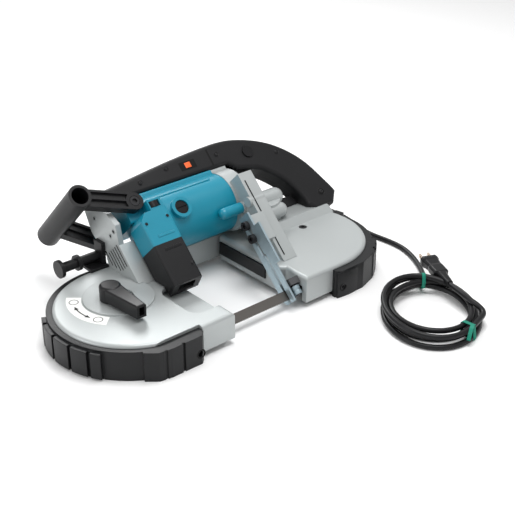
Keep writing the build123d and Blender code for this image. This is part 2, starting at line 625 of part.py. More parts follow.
def gear_bearings():
    """Plain rings that carry the drive, upright and cross shafts."""
    return [
        ring_z(DRIVE_X, 0, 39, 44, 17, 8 + FIT),
        ring_z(LAY_X, LAY_Y, 40, 48, 13, 6 + FIT),
        ring_z(LAY_X, LAY_Y, 54, 62, 13, 6 + FIT),
        ring_x(97, 103, MID_Y, MID_Z, 9, SHAFT + FIT),
        ring_x(*CROSS_BEARING_X, MID_Y, MID_Z, 9, SHAFT + FIT),
    ]


# ---------------------------------------------------------------- motor
BRUSH_X = -17.5
CORE = (-2.0, 44.0)
LAMP_X = (-90.0, -43.5)
LAMP_S = (-54.0, -13.0)


def motor_housing():
    """Plastic barrel with a saddle for the handle and bosses at its right end."""
    barrel = rod_x(MOTOR_LEFT, MOTOR_RIGHT, MOTOR_Y, MOTOR_Z, MOTOR_RADIUS)
    saddle = upright(block(-58, MOTOR_RIGHT, MOTOR_S - 19, MOTOR_S + 19, 145, SEAM_V))
    saddle = fillet(saddle.edges().filter_by(Axis.X), 3.0)
    end_block = upright(block(-84, -48, AUX_ARM_FRONT[1], 30, 132, SEAM_V - 3))
    end_block = fillet(end_block.edges().filter_by(Axis.X), 6.0)
    rear_lug = upright(block(-103, -56, 26, AUX_ARM_REAR[0], 134, 158))
    lower_boss = upright(rod_x(44, MOTOR_RIGHT, -39, 98, 8) + Pos(44, -39, 98) * Sphere(8))
    rib = upright(block(-30, 40, -15, -12, 166, 169))
    switch_seat = upright(block(-60.5, -39, -41, -20, 136, 152))
    body = barrel + saddle + end_block + rear_lug + lower_boss + switch_seat
    inside = rod_x(MOTOR_LEFT + 4, MOTOR_RIGHT + 1, MOTOR_Y, MOTOR_Z, MOTOR_RADIUS - MOTOR_WALL)
    left_end = rod_x(MOTOR_LEFT - 1, MOTOR_LEFT + 5, MOTOR_Y, MOTOR_Z, 10)
    front_cap = upright(Pos(BRUSH_X, -40, MOTOR_V) * Rot(90, 0, 0) * Cylinder(15, 14))
    back_cap = upright(Pos(BRUSH_X, 42, MOTOR_V) * Rot(90, 0, 0) * Cylinder(15, 12))
    body = body + front_cap + back_cap - inside - left_end
    bore = upright(Pos(BRUSH_X, MOTOR_S, MOTOR_V) * Rot(90, 0, 0) * Cylinder(10.2, 110))
    core_keep = rod_x(-50, 70, MOTOR_Y, MOTOR_Z, 30)
    rocker_well = upright(block(-58.5, -42.5, -42, -34, 139.5, 149))
    arm_bolt = upright(Pos(AUX_BOLT_X, AUX_ARM_FRONT[1], AUX_BOLT_V) * Rot(90, 0, 0) * Cylinder(4.2, 18))
    return body - bore - core_keep - rocker_well - arm_bolt + rib - lamp_space()


def lamp_space():
    """Outer form of the lamp box, upright part above and cover below."""
    return upright(block(LAMP_X[0], LAMP_X[1], LAMP_S[0], LAMP_S[1], 84, 134))


def lamp_housing():
    """Coloured upper half of the lamp box, faired into the motor."""
    outline = [(LAMP_X[0], 86), (LAMP_X[0], 122), (LAMP_X[0] + 10, 133), (LAMP_X[1], 134), (LAMP_X[1], 86)]
    body = profile_xv(outline, LAMP_S[0], LAMP_S[1])
    body = fillet(body.edges().filter_by(Axis.Z), 3.0)
    cavity = block(LAMP_X[0] + 3, LAMP_X[1] - 3, LAMP_S[0] + 3, LAMP_S[1] - 3, 85, 118)
    return upright(body - cavity)


def lamp_cover():
    """Dark lower half of the lamp box, open where the lens looks at the cut."""
    front, back = LAMP_S
    side = [(front, 86), (front, 27), (front + 22, 20), (-30, 36), (back, 53), (back, 86)]
    face = Plane.YZ.offset(LAMP_X[0]) * make_face(Polyline(*side, close=True))
    body = extrude(face, LAMP_X[1] - LAMP_X[0], dir=(1, 0, 0))
    body = fillet(body.edges().filter_by(Axis.Z), 3.0)
    inner = [(front + 3, 87), (front + 3, 30), (front + 20, 24), (-33, 38), (back - 3, 55), (back - 3, 87)]
    inner_face = Plane.YZ.offset(LAMP_X[0] + 3) * make_face(Polyline(*inner, close=True))
    cavity = extrude(inner_face, LAMP_X[1] - LAMP_X[0] - 6, dir=(1, 0, 0))
    window = block(LAMP_X[0] + 10, LAMP_X[1] - 10, front + 4, front + 18, 15, 32)
    return upright(body - cavity - window)


def lamp_lens():
    front = LAMP_S[0]
    return upright(block(LAMP_X[0] + 8, LAMP_X[1] - 8, front + 3.4, front + 19, 30.5, 33)
                   - block(-200, 200, front + 3, front + 20, 20, 30.2))


def lamp_switch():
    """Rocker of the lamp switch, rocking about the upright axis."""
    rocker = Pos(-50.5, -37.5, 144.25) * Box(13, 4, 8.5)
    crown = Pos(-50.5, -31.5, 144.25) * Cylinder(10.5, 8.5) & Pos(-50.5, -40, 144.25) * Box(13, 8, 8.5)
    return upright(rocker + crown - block(-60, -42, -36, -20, 130, 160))


def armature_shaft():
    """Motor shaft with the first pinion cut on its end."""
    gap_turn = first_mesh_turn() + math.pi + math.pi / FIRST_PINION_TEETH
    pinion = gear_x(85, MOTOR_Y, MOTOR_Z, FIRST_PINION_TEETH, FIRST_MODULE, 8.5, 0.40, gap_turn)
    return pinion + rod_x(-55, 82, MOTOR_Y, MOTOR_Z, SHAFT) + rod_x(80, 93, MOTOR_Y, MOTOR_Z, 2.2)


def armature_core():
    core = ring_x(CORE[0], CORE[1], MOTOR_Y, MOTOR_Z, 19, SHAFT)
    for slot in range(12):
        angle = math.radians(30 * slot)
        core = core - rod_x(CORE[0] - 1, CORE[1] + 1, MOTOR_Y + 16.5 * math.cos(angle),
                            MOTOR_Z + 16.5 * math.sin(angle), 1.8)
    return core


def commutator():
    return ring_x(-27, -7, MOTOR_Y, MOTOR_Z, 11, SHAFT)


def fan():
    hub = ring_x(54, 64, MOTOR_Y, MOTOR_Z, 9, SHAFT)
    disc = ring_x(54, 56, MOTOR_Y, MOTOR_Z, 33, 8)
    wheel_body = hub + disc
    for vane in range(10):
        bar = Pos(0, MOTOR_Y, MOTOR_Z) * Rot(36 * vane, 0, 0) * block(55, 63, 10, 32, -0.8, 0.8)
        wheel_body = wheel_body + bar
    return wheel_body


def armature_bearings():
    return [ring_x(x0, x1, MOTOR_Y, MOTOR_Z, outer, SHAFT + FIT)
            for x0, x1, outer in ((MOTOR_LEFT + 0.5, MOTOR_LEFT + 8, 10), (68, 75, 12))]


def field_core():
    stack = ring_x(CORE[0], CORE[1], MOTOR_Y, MOTOR_Z, 34, 19.8)
    ears = upright(block(CORE[0], CORE[1], MOTOR_S - 6, MOTOR_S + 6, MOTOR_V + 30, MOTOR_V + 38.4)
                   + block(CORE[0], CORE[1], MOTOR_S - 6, MOTOR_S + 6, MOTOR_V - 38.4, MOTOR_V - 30))
    return stack + ears


def field_coils():
    return [ring_x(x0, x1, MOTOR_Y, MOTOR_Z, 31, 21) for x0, x1 in ((CORE[0] - 6, CORE[0]), (CORE[1], CORE[1] + 6))]


def brushes():
    """Carbon blocks that bear on the commutator from both sides."""
    parts = []
    for side in (-1, 1):
        centre = MOTOR_S + side * 19.0
        parts.append(upright(Pos(BRUSH_X, centre, MOTOR_V) * Box(6, 15, 8)))
    return parts


def brush_caps():
    """Slotted screw caps of the two brush holders, with the holder tube behind each."""
    parts = []
    for side in (-1, 1):
        cap = Pos(BRUSH_X, MOTOR_S + side * 43, MOTOR_V) * Rot(90, 0, 0) * Cylinder(10, 7)
        slot = Pos(BRUSH_X, MOTOR_S + side * 46.5, MOTOR_V) * Box(15, 3, 2)
        tube = Pos(BRUSH_X, MOTOR_S + side * 33.5, MOTOR_V) * Rot(90, 0, 0) * (Cylinder(8, 13) - Cylinder(6.5, 20))
        parts.append(upright(cap - slot + tube))
    return parts


# ---------------------------------------------------------------- main handle
def handle_outline():
    """Upright (x, v) outline of the D-shaped main handle."""
    top = Spline((-98, 192), (0, 202.5), (80, 208), (125, 207), (158, 199), (190, 185), (219, 163),
                 (242, 134), (256, 104), (264, 84), tangents=((10, 1), (3, -10)))
    foot = Polyline((264, 84), (266, 78), (252, 61), (215, 61), (204, 72))
    inner = Spline((204, 72), (201, 92), (194, 109), (183, 126), (168, 141), (150, 152),
                   tangents=((1, 10), (-12, 5)))
    lower = Polyline((150, 152), (120, 160), (108, SEAM_V), (-98, SEAM_V), (-98, 192))
    return Wire([*top.edges(), *foot.edges(), *inner.edges(), *lower.edges()])


def handle_half(side):
    """One moulded half of the handle; side -1 is the half nearest the blade."""
    shell = profile_xv(handle_outline(), MOTOR_S - HANDLE_HALF, MOTOR_S)
    shell = fillet(shell.faces().sort_by(Axis.Y)[0].edges(), 6.0)
    if side > 0:
        shell = mirror(shell, Plane(origin=(0, MOTOR_S, 0), z_dir=(0, 1, 0)))
    cable_way = block(-90, 100, MOTOR_S - 12, MOTOR_S + 12, 176, 190)
    switch_bay = block(92, 160, MOTOR_S - 13, MOTOR_S + 13, 164, 197)
    trigger_slot = block(113, 149, MOTOR_S - 8.3, MOTOR_S + 8.3, 140, 166)
    dial_bay = Pos(DIAL_X, DIAL_S, DIAL_V) * Cylinder(DIAL_RADIUS + 0.4, DIAL_HEIGHT + 0.6)
    shell = shell - cable_way - switch_bay - trigger_slot - dial_bay
    dial_post = Pos(DIAL_X, DIAL_S, DIAL_V) * Cylinder(DIAL_POST, DIAL_HEIGHT + 4)
    if side < 0:
        shell = shell + dial_post
        shell = shell - Pos(LOCK_X, MOTOR_S - HANDLE_HALF, LOCK_V) * Rot(90, 0, 0) * Cylinder(9.3, 30)
    else:
        shell = shell + block(163.5, 215, 2.5, 17, 84, 99)
    housing_room = rod_z(RIGHT, 0, -10, LEDGE_TOP, DRIVE_RADIUS)
    bumper_room = rod_z(RIGHT, 0, -10, BUMPER_TOP + 0.5, DRIVE_RADIUS + 16.3)
    return upright(shell) - housing_room - bumper_room


DIAL_X = 44.0
DIAL_V = 188.0
DIAL_RADIUS = 11.0
DIAL_HEIGHT = 8.0
DIAL_POST = 2.0
DIAL_S = MOTOR_S - HANDLE_HALF + DIAL_RADIUS - 1.5
LOCK_X = 150.0
LOCK_V = 179.0


def speed_dial():
    """Knurled thumbwheel that shows through the side of the handle."""
    dial = Pos(DIAL_X, DIAL_S, DIAL_V) * Cylinder(DIAL_RADIUS, DIAL_HEIGHT)
    for notch in range(24):
        angle = math.radians(15 * notch)
        dial = dial - Pos(DIAL_X + (DIAL_RADIUS + 0.2) * math.cos(angle),
                          DIAL_S + (DIAL_RADIUS + 0.2) * math.sin(angle), DIAL_V) * Cylinder(0.7, 12)
    return upright(dial - Pos(DIAL_X, DIAL_S, DIAL_V) * Cylinder(DIAL_POST + FIT, 20))


def trigger():
    """Switch trigger, pulled up into the handle."""
    face = [(114, 165), (114, 154), (122, 147), (138, 144.5), (148, 149), (148, 161), (142, 165)]
    return upright(profile_xv(face, MOTOR_S - 8, MOTOR_S + 8))


def lock_button():
    """Lock-on button on the side of the handle."""
    cap = Pos(LOCK_X, MOTOR_S - HANDLE_HALF + 3, LOCK_V) * Rot(90, 0, 0) * Cylinder(9, 10)
    return upright(cap)


def switch_block():
    """Electric switch inside the grip, above the trigger."""
    body = block(96, 140, MOTOR_S - 9, MOTOR_S + 9, 173, 194)
    return upright(body)


# ---------------------------------------------------------------- front handle
AUX_X = -144.6
AUX_V = 187.4
AUX_S = (-38.0, 94.0)
AUX_RADIUS = 16.0
AUX_BORE = 11.8
AUX_BOLT_X = -71.6
AUX_BOLT_V = 158.4
AUX_ARM_FRONT = (-34.0, -20.0)
AUX_ARM_REAR = (54.0, 68.0)


def aux_grip():
    """Open moulded tube held across the front of the saw."""
    tube = Pos(AUX_X, (AUX_S[0] + AUX_S[1]) / 2, AUX_V) * Rot(90, 0, 0) * Cylinder(AUX_RADIUS, AUX_S[1] - AUX_S[0])
    bore = Pos(AUX_X, AUX_S[0] + 50, AUX_V) * Rot(90, 0, 0) * Cylinder(AUX_BORE, 101)
    return upright(tube - bore)


def aux_arm(s0, s1, bolt_x, bolt_v):
    """Flat arm between the grip tube and a bolt boss, ribbed along its middle."""
    length = math.hypot(bolt_x - AUX_X, bolt_v - AUX_V)
    angle = math.degrees(math.atan2(bolt_v - AUX_V, bolt_x - AUX_X))
    bar = block(0, length, s0, s1, -12.5, 12.5)
    bar = bar - block(14, length - 10, s0 - 1, s0 + 4, -9, -1.2) - block(14, length - 10, s0 - 1, s0 + 4, 1.2, 9)
    arm = Pos(AUX_X, 0, AUX_V) * Rot(0, -angle, 0) * bar
    middle = (s0 + s1) / 2
    boss = Pos(bolt_x, middle, bolt_v) * Rot(90, 0, 0) * Cylinder(12.6, s1 - s0)
    tube_space = Pos(AUX_X, 20, AUX_V) * Rot(90, 0, 0) * Cylinder(AUX_RADIUS, 300)
    hole = Pos(bolt_x, middle, bolt_v) * Rot(90, 0, 0) * Cylinder(4.2, 60)
    counterbore = Pos(bolt_x, s0, bolt_v) * Rot(90, 0, 0) * Cylinder(7.5, 10)
    return arm + boss - tube_space - hole - counterbore


def aux_arms():
    """The two arms of the front handle, one at each end of its tube."""
    front = aux_arm(*AUX_ARM_FRONT, AUX_BOLT_X, AUX_BOLT_V)
    rear = aux_arm(*AUX_ARM_REAR, AUX_BOLT_X - 22, 146)
    motor = rod_x(MOTOR_LEFT - 1, -50, MOTOR_Y, MOTOR_Z, MOTOR_RADIUS + 0.3)
    return [upright(front) - motor, upright(rear)]


def cord_hook():
    """Bracket beside the vent plate with a flanged spool on it."""
    foot = block(-140, VENT_X[0], 100, 124, IDLER_TOP, 49)
    riser = block(VENT_X[0] - 6, VENT_X[0], 106, 124, IDLER_TOP, 80)
    stem = rod_x(-180, VENT_X[0] - 6, 119, 57, 7)
    flanges = rod_x(-180, -175, 119, 57, 12.5) + rod_x(-152, -147, 119, 57, 11)
    return foot + riser + stem + flanges


# ---------------------------------------------------------------- work stop
STOP_X = (47.0, 50.0)
STOP_BOLT_V = (44.0, 64.0)
STOP_BOLT_S = -70.5
STOP_TRAVEL = 25.0
STOP_S = (-96.0, -60.0)
STOP_LOW = -58.0


def stop_plate():
    """Steel work stop with a fork round the blade and slots for its two bolts."""
    s0, s1 = STOP_S
    plate = block(*STOP_X, s0, s1, -2, 58) + block(*STOP_X, -84, s1, 40, 78)
    plate = plate + block(*STOP_X, -85.5, s1, STOP_LOW, 0)
    fork = block(STOP_X[0] - 1, STOP_X[1] + 1, BLADE_S - 2.6, BLADE_S + 2.6, STOP_LOW - 1, 18)
    plate = plate - fork
    for v in STOP_BOLT_V:
        slot = block(STOP_X[0] - 1, STOP_X[1] + 1, STOP_BOLT_S - 3.4, STOP_BOLT_S + 3.4, v - STOP_TRAVEL, v)
        for end in (v - STOP_TRAVEL, v):
            slot = slot + rod_x(STOP_X[0] - 1, STOP_X[1] + 1, STOP_BOLT_S, end, 3.4)
        plate = plate - slot
    corner = profile_yz([(s1 + 1, STOP_LOW - 1), (s1 - 7, STOP_LOW - 1), (s1 + 1, STOP_LOW + 7)],
                        STOP_X[0] - 1, STOP_X[1] + 1)
    return upright(plate - corner)


def screws():
    """Screws of the bumpers, front handle, drive housing and work stop."""
    screw = hex_socket_bolt(4.4, 4, SCREW_RADIUS, 8)
    parts = [
        Pos(BUMPER_SCREWS[0][0], -104, BUMPER_SCREWS[0][1]) * Rot(90, 0, 0) * screw,
        Pos(BUMPER_SCREWS[1][0], -108, BUMPER_SCREWS[1][1]) * Rot(90, 0, 0) * screw,
        upright(Pos(AUX_BOLT_X, -29, AUX_BOLT_V) * Rot(90, 0, 0) * hex_socket_bolt(7, 5, 4.2, 17)),
        Pos(*PLUG_SCREW, 43) * hex_socket_bolt(5.6, 3, 2.5, 3.5),
    ]
    for v in STOP_BOLT_V:
        bolt = hex_socket_bolt(6.5, 6, 3.0, 24.5)
        parts.append(upright(Pos(STOP_X[0] - 0.3, STOP_BOLT_S, v) * Rot(0, -90, 0) * bolt))
    return parts


# ---------------------------------------------------------------- cord
CORD_RADIUS = 3.75
CORD_EXIT = (235.0, MOTOR_S + HANDLE_HALF, 95.0)
GUARD_LENGTH = 30.0
COIL_CENTRE = (177.0, -227.0)
COIL_TURN = -41.1
COIL_OUTER = (71.0, 90.0)
COIL_INNER = (53.0, 62.0)
COIL_LOW = 1.0
COIL_HIGH = 17.0
PLUG_REAR = (230.0, -215.0, 25.0)
PLUG_HEADING = 65.0

LEAD_ROUTE = (
    lying_point(CORD_EXIT[0], CORD_EXIT[1] + GUARD_LENGTH, CORD_EXIT[2]),
    lying_point(CORD_EXIT[0], CORD_EXIT[1] + GUARD_LENGTH + 15, CORD_EXIT[2]), (239, 125, 9.5), (248, 137, 4.6), (262, 141, 4.0), (277, 137, 4.0),
    (290, 124, 4.0), (298, 104, 4.0), (302, 78, 4.0), (300, 49, 4.0), (293, 20, 4.0), (288, -8, 4.0),
    (292, -38, 4.0), (293.5, -69, 4.0), (284, -99, 4.0), (270, -125, 4.2), (255, -146, 5.0), (240, -163, 6.0))
TAIL_ROUTE = (
    (224, -290, 9.0), (221, -274, 19.0), (219, -256, 23.5), (223, -238, 25.0), (229.6, -215.9, 25.0))


def tube(route):
    """Round cord along straight runs joined by arcs as large as the runs allow."""
    points = [Vector(*place) for place in route]
    radii = []
    for before, here, after in zip(points, points[1:], points[2:]):
        turn = math.radians((here - before).get_angle(after - here))
        shorter = min((here - before).length, (after - here).length)
        radii.append(0.45 * shorter / math.tan(turn / 2))
    path = FilletPolyline(*points, radius=radii)
    start = Plane(origin=points[0], z_dir=points[1] - points[0])
    cord = sweep(start * Circle(CORD_RADIUS), path=path)
    section = math.pi * CORD_RADIUS ** 2
    print("cord run", round(path.length, 1), "volume ratio", round(cord.volume / (section * path.length), 4))
    print("arc radii", [round(radius) for radius in radii])
    return cord


def coil_frame():
    return Pos(*COIL_CENTRE, 0) * Rot(0, 0, COIL_TURN)


def cord_coil():
    """Outer shape of the loosely coiled part of the cord."""
    ring = Ellipse(*COIL_OUTER) - Ellipse(*COIL_INNER)
    solid = Pos(0, 0, COIL_LOW) * extrude(ring, COIL_HIGH - COIL_LOW)
    solid = fillet(solid.edges().group_by(Axis.Z)[-1], 5.0)
    return coil_frame() * solid


def cord():
    """The lead from the saw to the coil, and the tail from the coil to the plug."""
    coil = cord_coil()
    return [tube(LEAD_ROUTE) - coil, tube(TAIL_ROUTE) - coil]


def cord_ties():
    """Two soft ties wrapped round the coil's bundle."""
    coil = coil_frame().inverse() * cord_coil()
    lead, tail = cord()
    ties = []
    for angle in (90, -48):
        turn = math.radians(angle)
        outer = (COIL_OUTER[0] * math.cos(turn), COIL_OUTER[1] * math.sin(turn))
        inner = (COIL_INNER[0] * math.cos(turn), COIL_INNER[1] * math.sin(turn))
        middle = ((outer[0] + inner[0]) / 2, (outer[1] + inner[1]) / 2)
        width = math.dist(outer, inner) + 2.4
        facing = math.degrees(math.atan2(outer[1] - inner[1], outer[0] - inner[0]))
        height = COIL_HIGH - COIL_LOW + 1.6
        strap = Pos(*middle, COIL_LOW + height / 2 - 0.8) * Rot(0, 0, facing) * Box(width, 7, height)
        ties.append(coil_frame() * (strap - coil) - lead - tail)
    return ties


def cord_guard():
    """Tapered rubber strain relief where the cord leaves the handle."""
    x, s, v = CORD_EXIT
    cone = Pos(x, s + GUARD_LENGTH / 2, v) * Rot(-90, 0, 0) * Cone(7.5, 4.6, GUARD_LENGTH)
    return upright(cone)


def plug():
    """Two-blade plug with a moulded strain relief, lying on the coil."""
    relief = Pos(14, 0, 0) * Rot(0, 90, 0) * Cone(4.4, 7.2, 28)
    body = fillet(block(28, 72, -12.5, 12.5, -7.5, 7.5).edges().filter_by(Axis.X), 5.0)
    blades = block(72, 90, -7.1, -5.6, -3.2, 3.2) + block(72, 90, 5.6, 7.1, -3.2, 3.2)
    place = Pos(*PLUG_REAR) * Rot(0, 0, PLUG_HEADING)
    return [place * (relief + body), *[place * blade_piece for blade_piece in blades.solids()]]


CORD_NODES = ("cord_guard", "cord", "cord_coil", "cord_ties", "plug")


def nodes():
    return {
        "idler_housing": idler_housing(),
        "drive_housing": drive_housing(),
        "bridge": bridge(),
        "vent_gusset": vent_gusset(),
        "guide_arm": guide_arm(),
        "gear_case": gear_case(),
        "crown_case": crown_case(),
        "idler_bumper": idler_bumper(),
        "drive_bumper": drive_bumper(),
        "throat_strip": throat_strip(),
        "blade": blade(),
        "blade_guides": [right_guide(), left_guide()],
        "guide_roller_front": guide_roller(-1),
        "guide_roller_back": guide_roller(1),
        "idler_wheel": wheel(IDLER_X, 11.5, 28.5, 13),
        "idler_tyre": tyre(IDLER_X),
        "idler_bearings": idler_bearings(),
        "idler_axle": idler_axle(),
        "tension_slider": tension_slider(),
        "tension_shaft": tension_shaft(),
        "tension_lever": tension_lever(),
        "drive_wheel": drive_wheel(),
        "drive_tyre": tyre(DRIVE_X),
        "drive_shaft": drive_shaft(),
        "final_gear": final_gear(),
        "layshaft": layshaft(),
        "crown_gear": crown_gear(),
        "intermediate_shaft": intermediate_shaft(),
        "reduction_gear": reduction_gear(),
        "gear_bearings": gear_bearings(),
        "motor_housing": motor_housing(),
        "armature_shaft": armature_shaft(),
        "armature_core": armature_core(),
        "commutator": commutator(),
        "fan": fan(),
        "armature_bearings": armature_bearings(),
        "field_core": field_core(),
        "field_coils": field_coils(),
        "brushes": brushes(),
        "brush_caps": brush_caps(),
        "lamp_housing": lamp_housing(),
        "lamp_cover": lamp_cover(),
        "lamp_lens": lamp_lens(),
        "lamp_switch": lamp_switch(),
        "handle_front": handle_half(-1),
        "handle_rear": handle_half(1),
        "speed_dial": speed_dial(),
        "trigger": trigger(),
        "lock_button": lock_button(),
        "switch_block": switch_block(),
        "aux_grip": aux_grip(),
        "aux_arms": aux_arms(),
        "stop_plate": stop_plate(),
        "screws": screws(),
        "cord_hook": cord_hook(),
        "cord_guard": cord_guard(),
        "cord": cord(),
        "cord_coil": cord_coil(),
        "cord_ties": cord_ties(),
        "plug": plug(),
    }


def main():
    os.makedirs("parts", exist_ok=True)
    solids = {}
    for name, shape in nodes().items():
        parts = shape if isinstance(shape, list) else [shape]
        solids[name] = [piece for part in parts for piece in part.solids()]
    saw = Compound([piece for name, pieces in solids.items() if name not in CORD_NODES for piece in pieces])
    box = saw.bounding_box()
    shift = Pos(-(box.min.X + box.max.X) / 2, -(box.min.Y + box.max.Y) / 2, -box.min.Z)
    print("origin shift", shift.position, "size", box.size)
    for name, pieces in solids.items():
        export_step(Compound(children=[shift * piece for piece in pieces]), f"parts/{name}.step")
        print(name, round(sum(piece.volume for piece in pieces)))


main()
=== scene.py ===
import math

import bmesh
import bpy
from mathutils import Matrix, Vector


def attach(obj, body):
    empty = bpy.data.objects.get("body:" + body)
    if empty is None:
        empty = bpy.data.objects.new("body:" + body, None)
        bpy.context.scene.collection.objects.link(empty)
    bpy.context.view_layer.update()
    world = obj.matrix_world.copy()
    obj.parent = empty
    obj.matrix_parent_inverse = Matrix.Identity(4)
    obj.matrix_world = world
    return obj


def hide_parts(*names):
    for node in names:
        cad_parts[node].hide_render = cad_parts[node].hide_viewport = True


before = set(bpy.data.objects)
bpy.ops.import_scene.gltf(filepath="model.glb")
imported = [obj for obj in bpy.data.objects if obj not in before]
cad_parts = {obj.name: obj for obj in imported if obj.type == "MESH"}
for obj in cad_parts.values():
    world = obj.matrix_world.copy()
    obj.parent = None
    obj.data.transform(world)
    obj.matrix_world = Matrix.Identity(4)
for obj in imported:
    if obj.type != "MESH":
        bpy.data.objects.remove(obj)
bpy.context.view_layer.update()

# Places below are in millimetres in the lying frame of the CAD source, unless a comment says metres.
SHIFT = Vector((-3.0, -47.1468, 0.0))
ROOT2 = math.sqrt(2)


def row(x, y, z):
    """A lying-frame place in millimetres as a row-frame place in metres."""
    return (Vector((x, y, z)) + SHIFT) * 0.001


def up(x, s, v):
    """An upright (x, s, v) place in millimetres as a row-frame place in metres."""
    return row(x, (v + s) / ROOT2, (v - s) / ROOT2)


# ---------------------------------------------------------------- camera and light
scene = bpy.context.scene
camera_data = bpy.data.cameras.new("camera")
camera = bpy.data.objects.new("camera", camera_data)
scene.collection.objects.link(camera)
scene.camera = camera
EYE = row(-818.2, -1017.5, 756.9)
AIM = row(61.0, -9.6, 42.8)
camera.location = EYE
camera.rotation_euler = (AIM - EYE).to_track_quat("-Z", "Y").to_euler()
camera_data.sensor_width = 36.0
camera_data.lens = 76.26
camera_data.clip_end = 20.0

world = bpy.data.worlds.new("studio")
scene.world = world
world.use_nodes = True
world.node_tree.nodes["Background"].inputs["Color"].default_value = (1.0, 1.0, 1.0, 1.0)
world.node_tree.nodes["Background"].inputs["Strength"].default_value = 0.62
scene.view_settings.view_transform = "Standard"


def area_light(name, place, aim, size, power):
    data = bpy.data.lights.new(name, "AREA")
    data.shape = "DISK"
    data.size = size
    data.energy = power
    light = bpy.data.objects.new(name, data)
    light.location = place
    light.rotation_euler = (Vector(aim) - Vector(place)).to_track_quat("-Z", "Y").to_euler()
    scene.collection.objects.link(light)


area_light("key", (0.15, -0.25, 1.6), (0, 0, 0), 0.9, 17.0)
area_light("back", (0.5, 1.2, 1.1), (0, 0, 0.05), 0.8, 11.0)
area_light("side", (-1.4, 0.3, 0.7), (0, 0, 0.05), 0.6, 5.0)


# ---------------------------------------------------------------- materials
def shader(name, colour, metallic=0.0, roughness=0.5):
    """New material with its output shader; returns (material, tree, shader node)."""
    material = bpy.data.materials.new(name)
    material.use_nodes = True
    tree = material.node_tree
    node = tree.nodes["Principled BSDF"]
    node.inputs["Base Color"].default_value = (*colour, 1.0)
    node.inputs["Metallic"].default_value = metallic
    node.inputs["Roughness"].default_value = roughness
    node.inputs["Specular IOR Level"].default_value = 0.5 if max(colour) > 0.05 else 0.28
    return material, tree, node


def surface(name, colour, metallic, roughness, grain, depth, vary=0.06, stretch=(1, 1, 1), edge=0.0007):
    """Procedural finish: fine grain in the bump, slow change of tone and gloss, eased edges."""
    material, tree, node = shader(name, colour, metallic, roughness)
    where = tree.nodes.new("ShaderNodeTexCoord")
    mapping = tree.nodes.new("ShaderNodeMapping")
    mapping.inputs["Scale"].default_value = stretch
    tree.links.new(where.outputs["Object"], mapping.inputs["Vector"])
    fine = tree.nodes.new("ShaderNodeTexNoise")
    fine.inputs["Scale"].default_value = grain
    fine.inputs["Detail"].default_value = 4.0
    tree.links.new(mapping.outputs["Vector"], fine.inputs["Vector"])
    slow = tree.nodes.new("ShaderNodeTexNoise")
    slow.inputs["Scale"].default_value = 14.0
    slow.inputs["Detail"].default_value = 3.0
    tree.links.new(mapping.outputs["Vector"], slow.inputs["Vector"])
    tone = tree.nodes.new("ShaderNodeMix")
    tone.data_type = "RGBA"
    tone.inputs["A"].default_value = (*[c * (1 - vary) for c in colour], 1.0)
    tone.inputs["B"].default_value = (*[min(1.0, c * (1 + vary)) for c in colour], 1.0)
    tree.links.new(slow.outputs["Fac"], tone.inputs["Factor"])
    tree.links.new(tone.outputs["Result"], node.inputs["Base Color"])
    gloss = tree.nodes.new("ShaderNodeMapRange")
    gloss.inputs["To Min"].default_value = max(0.05, roughness - 0.07)
    gloss.inputs["To Max"].default_value = min(1.0, roughness + 0.07)
    tree.links.new(slow.outputs["Fac"], gloss.inputs["Value"])
    tree.links.new(gloss.outputs["Result"], node.inputs["Roughness"])
    bump = tree.nodes.new("ShaderNodeBump")
    bump.inputs["Strength"].default_value = 0.6
    bump.inputs["Distance"].default_value = depth
    tree.links.new(fine.outputs["Fac"], bump.inputs["Height"])
    if edge:
        ease = tree.nodes.new("ShaderNodeBevel")
        ease.samples = 4
        ease.inputs["Radius"].default_value = edge
        tree.links.new(ease.outputs["Normal"], bump.inputs["Normal"])
    tree.links.new(bump.outputs["Normal"], node.inputs["Normal"])
    return material


SILVER = surface("silver_castings", (0.43, 0.455, 0.455), 0.4, 0.42, 900, 0.00014, 0.04, edge=0.0012)
BLACK = surface("black_plastic", (0.0085, 0.0085, 0.0095), 0.0, 0.42, 1500, 0.00014, 0.15)
SMOOTH_BLACK = surface("smooth_black", (0.007, 0.007, 0.008), 0.0, 0.30, 700, 0.00004, 0.12)
TEAL = surface("teal_plastic", (0.002, 0.22, 0.32), 0.0, 0.34, 1300, 0.00007, 0.05)
RUBBER = surface("black_rubber", (0.008, 0.0085, 0.0095), 0.0, 0.40, 800, 0.00016, 0.2, edge=0.0016)
ORANGE = surface("orange_plastic", (1.0, 0.14, 0.02), 0.0, 0.4, 900, 0.00006, 0.05)
BLADE = surface("blade_steel", (0.15, 0.14, 0.13), 0.75, 0.40, 260, 0.00005, 0.18, (0.15, 3, 3), edge=0)
ZINC = surface("bright_steel", (0.40, 0.50, 0.55), 0.75, 0.32, 300, 0.00004, 0.07, (1, 1, 4))
STEEL = surface("machined_steel", (0.52, 0.52, 0.53), 0.95, 0.34, 500, 0.00005, 0.1)
ALLOY = surface("wheel_alloy", (0.55, 0.56, 0.57), 0.8, 0.48, 600, 0.00014, 0.06)
COPPER = surface("copper_winding", (0.60, 0.25, 0.10), 0.8, 0.4, 900, 0.0002, 0.2, (1, 6, 6))
IRON = surface("dark_iron", (0.10, 0.10, 0.105), 0.7, 0.5, 600, 0.00012, 0.2)
SCREW = surface("black_screws", (0.03, 0.03, 0.032), 0.5, 0.4, 900, 0.00004, 0.1)
CORD = surface("cord_rubber", (0.007, 0.007, 0.008), 0.0, 0.38, 1200, 0.00006, 0.15, edge=0)
GREEN = surface("green_tie", (0.0, 0.22, 0.145), 0.0, 0.7, 2200, 0.0003, 0.15, edge=0)
PAPER = surface("label_white", (0.82, 0.82, 0.80), 0.0, 0.5, 500, 0.00002, 0.02, edge=0)
INK = surface("label_ink", (0.03, 0.03, 0.03), 0.0, 0.6, 500, 0.00001, 0.05, edge=0)
